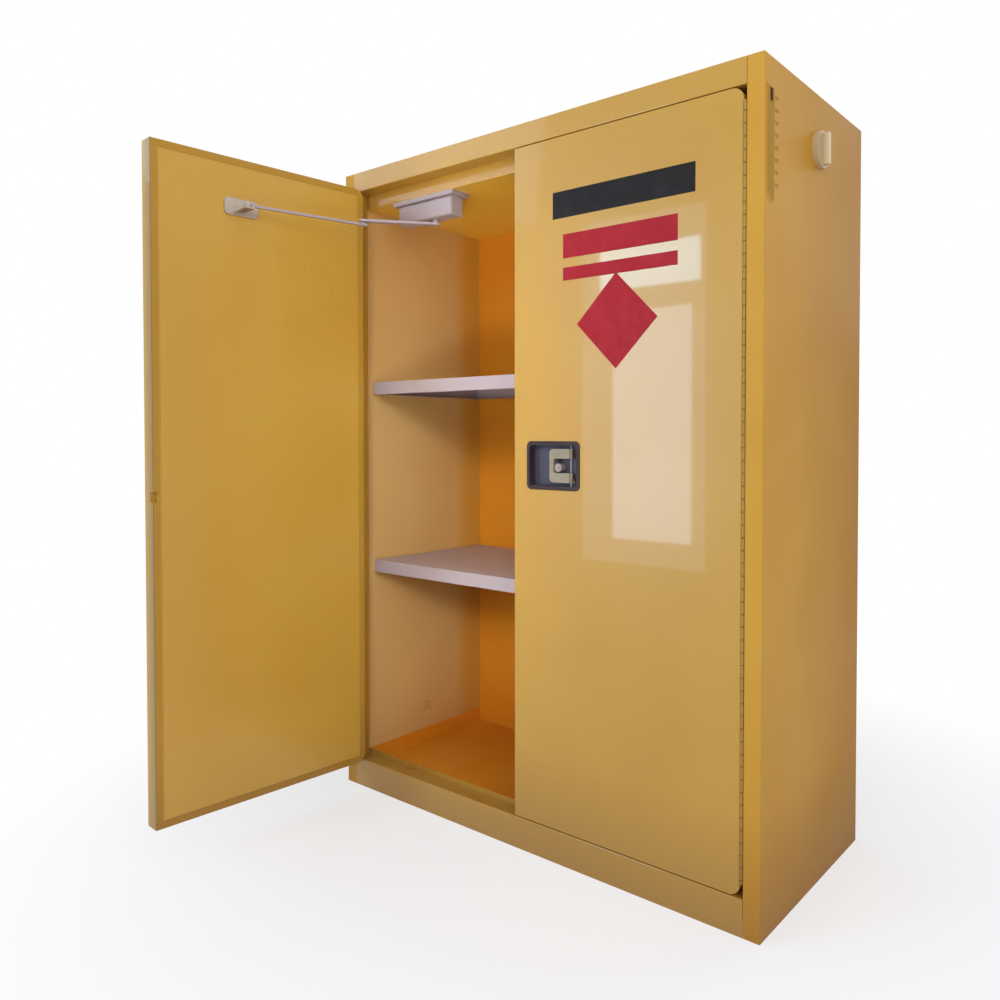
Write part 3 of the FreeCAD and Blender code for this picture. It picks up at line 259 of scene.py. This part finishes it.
def powder_coat(name, base, warm, pale, rough=(0.26, 0.36), coat=0.8, sheen=0.25, blur=0.035,
                low_darkening=0.75, fade=None):
    """Gloss powder coat: cloudy tone, pale rubs, a darker foot and faint orange peel.

    base and warm are the two tones of the cloud, and pale is the tone of the rubs. coat is the
    weight of the clear gloss and blur its roughness; sheen is the reflection of the paint under it.
    low_darkening is the share of a darker, duller tone at floor level, which fades out upwards.
    fade paints a second tone along Y, used for painted shade and a painted reflection: where it
    starts, where it is full, its share and its colour.
    """
    m = Nodes(name)
    cloud = m.noise(scale=2.2, detail=2.0)
    tone = m.ramp(cloud, (0.35, base), (0.70, warm))
    scuff = m.noise(scale=130.0, detail=4.0, rough=0.6)
    tone = m.mix(m.span(scuff, (0.62, 0.80), (0.0, RUB_SHARE)), tone, pale)
    if fade is not None:
        start, full, share, colour = fade
        tone = m.mix(m.span(m.along("Y"), (start, full), (0.0, share)), tone, colour)
    # The coat turns darker and duller towards the floor, up to 0.24 m above it.
    low_dark_tone = tuple(part * share for part, share in zip(warm, LOW_DARKENING_TINT))
    tone = m.mix(m.span(m.along("Z"), (0.0, LOW_DARKENING_TOP), (low_darkening, 0.0)), tone, low_dark_tone)
    gloss = m.noise(scale=3.5, detail=1.0)
    m.feed(Base_Color=tone, Roughness=m.span(gloss, (0.2, 0.8), rough))
    peel = m.bump(m.noise(scale=420.0, detail=2.0), strength=0.10, distance=0.0006)
    m.bump(m.noise(scale=6.0, detail=1.0), strength=0.05, distance=0.004, under=peel)
    m.set(Coat_Weight=coat, Coat_Roughness=blur, Coat_IOR=COAT_IOR,
          IOR=PAINT_IOR, Specular_IOR_Level=sheen)
    return m.material


def satin_metal(name, base, dark, rough=(0.28, 0.42)):
    """Plated or brushed metal with fine lines along one way and small stains."""
    m = Nodes(name)
    lines = m.noise(scale=60.0, detail=4.0, rough=0.6, stretch=BRUSHED)
    stain = m.noise(scale=14.0, detail=3.0)
    m.feed(Base_Color=m.ramp(stain, (0.3, base), (0.75, dark)),
           Roughness=m.span(lines, (0.25, 0.75), rough))
    m.bump(lines, strength=0.12, distance=0.0004)
    m.set(Metallic=1.0)
    return m.material


def moulded(name, base, light, rough=(0.38, 0.55), metallic=0.0, grain=900.0, shine=0.5, zone=None):
    """Moulded plastic, painted casting or print, with fine grain and handling marks.

    zone paints light: a second, lighter tone by the distance from the middle along an axis. It gives
    the axis, where it starts, where it is full and its colour.
    """
    m = Nodes(name)
    mark = m.noise(scale=24.0, detail=5.0, rough=0.6)
    tone = m.ramp(mark, (0.45, base), (0.80, light))
    if zone is not None:
        axis, start, full, colour = zone
        tone = m.mix(m.span(m.size_of(m.along(axis)), (start, full), (0.0, ZONE_SHARE)), tone, colour)
    handling = m.noise(scale=60.0, detail=3.0)
    m.feed(Base_Color=tone, Roughness=m.span(handling, (0.3, 0.7), rough))
    m.bump(m.noise(scale=grain, detail=2.0), strength=0.18, distance=0.0003)
    m.set(Metallic=metallic, Specular_IOR_Level=shine)
    return m.material


# ---------------------------------------------------------------- finishes

YELLOW = powder_coat(
    "yellow_coat", (0.530, 0.300, 0.044), (0.500, 0.270, 0.035), (0.64, 0.45, 0.16))
# Its fade is painted shade: the side panels turn darker towards the rear.
# Painted light: the sides' copy of the yellow coat is lighter and more saturated than the front.
SIDE_COAT = powder_coat(
    "yellow_side_coat", (0.600, 0.330, 0.050), (0.540, 0.275, 0.036), (0.64, 0.40, 0.12),
    rough=(0.40, 0.50), coat=0.06, sheen=0.06, fade=(-0.1, 0.26, 0.70, (0.420, 0.180, 0.014)))
# The fade is painted shade: the free edge of the left door, which stands open at rest, is painted
# darker.
DOOR_OUT = powder_coat(
    "yellow_left_door_coat", (0.530, 0.300, 0.044), (0.500, 0.270, 0.035), (0.64, 0.45, 0.16),
    coat=0.4, sheen=0.1, fade=(-0.8245, -0.8268, 0.85, (0.260, 0.160, 0.045)))
DOOR_IN = powder_coat(
    "yellow_door_back", (0.660, 0.400, 0.064), (0.630, 0.360, 0.050), (0.68, 0.45, 0.12),
    coat=0.7, blur=0.13, low_darkening=0.3)
# The fade is a painted reflection: the side linings turn a deeper orange near the rear lining.
WALL_IN = powder_coat(
    "orange_side_lining", (0.760, 0.500, 0.185), (0.720, 0.440, 0.150), (0.84, 0.58, 0.26),
    rough=(0.3, 0.4), coat=0.3, low_darkening=0.2, fade=(0.12, 0.17, 0.8, (0.700, 0.360, 0.040)))
ORANGE = powder_coat(
    "orange_lining", (0.770, 0.310, 0.022), (0.730, 0.265, 0.016), (0.88, 0.48, 0.08),
    rough=(0.3, 0.4), coat=0.3, low_darkening=0.1)
CEILING = powder_coat(
    "yellow_ceiling", (0.960, 0.640, 0.080), (0.940, 0.580, 0.060), (0.95, 0.62, 0.12),
    rough=(0.3, 0.4), coat=0.2)
LILAC = powder_coat(
    "pale_shelf_coat", (0.470, 0.395, 0.405), (0.420, 0.345, 0.360), (0.58, 0.52, 0.54),
    rough=(0.3, 0.42), coat=0.1)
HINGE = powder_coat(
    "hinge_coat", (0.400, 0.240, 0.050), (0.340, 0.190, 0.036), (0.50, 0.34, 0.12),
    rough=(0.4, 0.5), coat=0.1)

ZINC = satin_metal("zinc_plate", (0.52, 0.46, 0.40), (0.42, 0.36, 0.32))
STEEL = satin_metal("dark_steel", (0.30, 0.28, 0.30), (0.18, 0.17, 0.18), rough=(0.35, 0.5))
BRASS = satin_metal("brass_fitting", (0.72, 0.52, 0.22), (0.5, 0.34, 0.13), rough=(0.25, 0.4))

# The zone is painted light: the floor of the latch dish, behind its rim, is painted lighter and bluer.
BLACK = moulded(
    "black_moulding", (0.030, 0.018, 0.019), (0.050, 0.034, 0.036),
    shine=0.22, zone=("Y", 0.252, 0.246, (0.075, 0.075, 0.105)))
NICKEL = moulded(
    "nickel_casting", (0.240, 0.195, 0.130), (0.320, 0.265, 0.180),
    rough=(0.34, 0.48), metallic=0.15, shine=0.4)
PINK_NICKEL = moulded(
    "lock_plug_casting", (0.320, 0.250, 0.225), (0.400, 0.320, 0.290),
    rough=(0.34, 0.48), metallic=0.2)
# The zone is a painted highlight: the outer face of the vent caps is painted paler.
CREAM = moulded(
    "vent_cap_moulding", (0.48, 0.37, 0.20), (0.54, 0.43, 0.25),
    rough=(0.35, 0.5), zone=("X", 0.613, 0.622, (0.72, 0.60, 0.38)))
RUBBER = moulded(
    "foot_rubber", (0.015, 0.015, 0.015), (0.035, 0.033, 0.03), rough=(0.6, 0.8))
# Painted shade: dark rings for the shaded gaps between the hinge knuckles.
KNUCKLE_GAP_SHADE = moulded(
    "hinge_gap_shade", (0.150, 0.080, 0.020), (0.200, 0.110, 0.030), rough=(0.5, 0.6), shine=0.2)
# Painted shade: darker yellow for the side strip's channel and notches, near black for its slot.
GROOVE_SHADE = moulded(
    "groove_shade", (0.400, 0.230, 0.028), (0.450, 0.265, 0.036), rough=(0.5, 0.6), shine=0.05)
SLOT_SHADE = moulded(
    "slot_shade", (0.050, 0.018, 0.006), (0.080, 0.030, 0.010), rough=(0.6, 0.7), shine=0.05)
MARK_BLACK = moulded(
    "black_print", (0.012, 0.010, 0.010), (0.022, 0.018, 0.018), grain=500.0, shine=0.12)
MARK_RED = moulded(
    "red_print", (0.360, 0.010, 0.018), (0.410, 0.018, 0.026), grain=500.0, shine=0.15)

FINISHES = (
    (YELLOW, "top_panel rear_panel base_pan base_stiffener header_rail sill_rail "
             "right_door_skin left_door_keeper"),
    (DOOR_OUT, "left_door_skin"),
    (SIDE_COAT, "left_side_panel right_side_panel side_strip"),
    (DOOR_IN, "left_door_panel right_door_panel"),
    (WALL_IN, "left_liner right_liner shelf_clips vent_screens vent_flanges"),
    (ORANGE, "rear_liner sump_tray"),
    (CEILING, "ceiling_liner"),
    (LILAC, "upper_shelf lower_shelf left_closer_case right_closer_case left_main_arm "
            "right_main_arm left_fore_arm right_fore_arm"),
    (ZINC, "rod_strikes foot_blocks left_closer_shoe right_closer_shoe upper_lock_rod "
           "lower_lock_rod latch_tongue latch_case rod_guides rocker"),
    (HINGE, "left_hinge_frame_leaf right_hinge_frame_leaf left_hinge_door_leaf "
            "right_hinge_door_leaf left_hinge_pin right_hinge_pin"),
    (BLACK, "latch_dish"),
    (NICKEL, "paddle"),
    (PINK_NICKEL, "key_plug lock_housing"),
    (STEEL, "paddle_pin"),
    (CREAM, "left_vent_cap right_vent_cap"),
    (RUBBER, "front_left_foot front_right_foot rear_left_foot rear_right_foot"),
    (BRASS, "earth_stud_and_nut"),
)


def dress_nodes():
    for material, names in FINISHES:
        for name in names.split():
            thing = frame["nodes"][name]
            thing.data.materials.clear()
            thing.data.materials.append(material)


# ---------------------------------------------------------------- mesh helpers

def piece(name, build, material, body):
    """A piece of its own that rides on a body; build fills its mesh."""
    shape = bmesh.new()
    build(shape)
    bmesh.ops.recalc_face_normals(shape, faces=shape.faces)
    mesh = bpy.data.meshes.new(name)
    shape.to_mesh(mesh)
    shape.free()
    mesh.materials.append(material)
    thing = bpy.data.objects.new(name, mesh)
    bpy.context.scene.collection.objects.link(thing)
    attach(thing, body)


def prism(shape, outline, axis, low, high):
    """A closed outline pushed from low to high along an axis; its points give the other two axes."""
    def point(pair, level):
        values = list(pair)
        values.insert("xyz".index(axis), level)
        return values
    bottom = [shape.verts.new(point(pair, low)) for pair in outline]
    top = [shape.verts.new(point(pair, high)) for pair in outline]
    shape.faces.new(bottom)
    shape.faces.new(list(reversed(top)))
    for i in range(len(outline)):
        j = (i + 1) % len(outline)
        shape.faces.new((bottom[i], bottom[j], top[j], top[i]))


def slab(shape, low, high):
    outline = [(low[0], low[1]), (high[0], low[1]), (high[0], high[1]), (low[0], high[1])]
    prism(shape, outline, "z", low[2], high[2])


def disc(centre, radius, count):
    return [(centre[0] + radius * math.cos(2 * math.pi * i / count),
             centre[1] + radius * math.sin(2 * math.pi * i / count)) for i in range(count)]


# ---------------------------------------------------------------- floor

FLOOR_HALF = 30
FLOOR_TONES = ((0.3, (0.86, 0.86, 0.87)), (0.7, (0.89, 0.89, 0.90)))
WHITE_FROM, WHITE_FULL, WHITE_LEAST = 0.65, 1.5, 0.60


def floor():
    """Pale floor: it keeps the object's shadow near by and fades to the white ground further out."""
    mesh = bpy.data.meshes.new("floor")
    corners = [(x * FLOOR_HALF, y * FLOOR_HALF, 0) for x, y in ((-1, -1), (1, -1), (1, 1), (-1, 1))]
    mesh.from_pydata(corners, [], [(0, 1, 2, 3)])
    m = Nodes("pale_floor")
    m.feed(Base_Color=m.ramp(m.noise(scale=0.6, detail=2.0), *FLOOR_TONES))
    m.set(Roughness=0.9, Specular_IOR_Level=0.1)
    far = m.tree.nodes.new("ShaderNodeVectorMath")
    far.operation = "LENGTH"
    m.link(m.place, far.inputs[0])
    fade = m.span(far.outputs["Value"], (WHITE_FROM, WHITE_FULL), (WHITE_LEAST, 1.0))
    white = m.tree.nodes.new("ShaderNodeEmission")
    white.inputs["Color"].default_value = WHITE
    white.inputs["Strength"].default_value = 1.0
    amount = m.tree.nodes.new("ShaderNodeMath")
    amount.operation = "MULTIPLY"
    m.link(fade, amount.inputs[0])
    m.link(seen(m.tree), amount.inputs[1])
    surface(m.tree, amount.outputs[0], m.shader.outputs[0], white.outputs[0], m.out)
    mesh.materials.append(m.material)
    thing = bpy.data.objects.new("floor", mesh)
    bpy.context.scene.collection.objects.link(thing)


# ---------------------------------------------------------------- plain painted marks on the right door

MARK_LIFT, MARK_SINK = 0.0003, 0.0002

# Name, left and right edge from the cabinet's left side, low and high edge, material, slot.
BARS = (
    ("upper_mark", 0.712, 1.060, 1.420, 1.478, MARK_BLACK, "black"),
    ("middle_mark", 0.740, 1.022, 1.332, 1.384, MARK_RED, None),
    ("lower_mark", 0.740, 1.022, 1.284, 1.312, MARK_RED, None),
)
DIAMOND_X, DIAMOND_Z, DIAMOND_HALF = 0.877, 1.187, 0.0995


def marks():
    outer, inner = FRONT - MARK_LIFT, FRONT + MARK_SINK
    for name, left, right, low, high, material, slot in BARS:
        def bar(shape):
            slab(shape, (left - SIDE, outer, low), (right - SIDE, inner, high))
        piece(name, bar, material, "right_door")

    def diamond(shape):
        x, z, half = DIAMOND_X - SIDE, DIAMOND_Z, DIAMOND_HALF
        prism(shape, [(x, z - half), (x + half, z), (x, z + half), (x - half, z)], "y", outer, inner)
    piece("diamond_mark", diamond, MARK_RED, "right_door")


# ---------------------------------------------------------------- painted shade

# The dark rings of painted shade: their pitch, radius, half height and corners.
SEAM_PITCH, SEAM_RADIUS, SEAM_HALF, SEAM_CORNERS = 0.0240, 0.00305, 0.0011, 12
HINGE_LOW, HINGE_HIGH = 0.110, 1.562


def hinge_gap_shades():
    """Painted shade: dark rings stand for the shaded gaps between the short knuckles of both piano
    hinges.
    """
    for word, side in (("left", -1), ("right", 1)):
        def build(shape):
            outline = disc((side * PIN, FRONT), SEAM_RADIUS, SEAM_CORNERS)
            for i in range(int((HINGE_HIGH - HINGE_LOW) / SEAM_PITCH) + 1):
                z = HINGE_LOW + i * SEAM_PITCH
                prism(shape, outline, "z", z - SEAM_HALF, z + SEAM_HALF)
        piece(f"{word}_hinge_gap_shades", build, KNUCKLE_GAP_SHADE, "cabinet")


SHADE_SINK, SHADE_LIFT, SLOT_LIFT = 0.0002, 0.0003, 0.0006

# The channel: its front and rear edge and its corner at the foot, from the strip's front edge; the
# gap above it; and the heights of its slanting foot at the rear, the corner and the front.
CHANNEL_FRONT, CHANNEL_REAR, CHANNEL_CORNER, CHANNEL_GAP = 0.001, 0.030, 0.022, 0.004
CHANNEL_FEET = 1.390, 1.381, 1.400

# The slot: its middle from the strip's front edge, half its width, and its ends from the top.
SLOT_MIDDLE, SLOT_HALF, SLOT_TOP, SLOT_FOOT = 0.0165, 0.0055, 0.006, 0.030

# The teeth: how many and how far apart, their ends from the strip's rear edge, and their low and
# high edge above each step.
TEETH, TOOTH_PITCH = 8, 0.023
TOOTH_FRONT, TOOTH_REAR, TOOTH_LOW, TOOTH_HIGH = 0.018, 0.0052, 0.001, 0.008


def strip_shades():
    """Painted shade on the toothed strip: darker pieces over its channel, the slot at its head and by
    its teeth.
    """
    low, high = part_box("side_strip")
    inside, outside = high[0] - SHADE_SINK, high[0] + SHADE_LIFT
    near, far, top = low[1], high[1], high[2]

    def channel(shape):
        front, rear, head = near + CHANNEL_FRONT, near + CHANNEL_REAR, top - CHANNEL_GAP
        rear_foot, corner_foot, front_foot = CHANNEL_FEET
        outline = [(front, head), (rear, head), (rear, rear_foot),
                   (near + CHANNEL_CORNER, corner_foot), (front, front_foot)]
        prism(shape, outline, "x", inside, outside)
    piece("strip_channel_shade", channel, GROOVE_SHADE, "cabinet")

    def slot(shape):
        middle = near + SLOT_MIDDLE
        slab(shape, (inside, middle - SLOT_HALF, top - SLOT_FOOT),
             (high[0] + SLOT_LIFT, middle + SLOT_HALF, top - SLOT_TOP))
    piece("strip_slot_shade", slot, SLOT_SHADE, "cabinet")

    def teeth(shape):
        for i in range(TEETH):
            z = top - TOOTH_PITCH * (i + 1)
            slab(shape, (inside, far - TOOTH_FRONT, z + TOOTH_LOW),
                 (outside, far - TOOTH_REAR, z + TOOTH_HIGH))
    piece("strip_teeth_shade", teeth, GROOVE_SHADE, "cabinet")


# ---------------------------------------------------------------- the scene

camera()
world()
for lamp in LAMPS:
    area(*lamp)
floor()
dress_nodes()
marks()
hinge_gap_shades()
strip_shades()
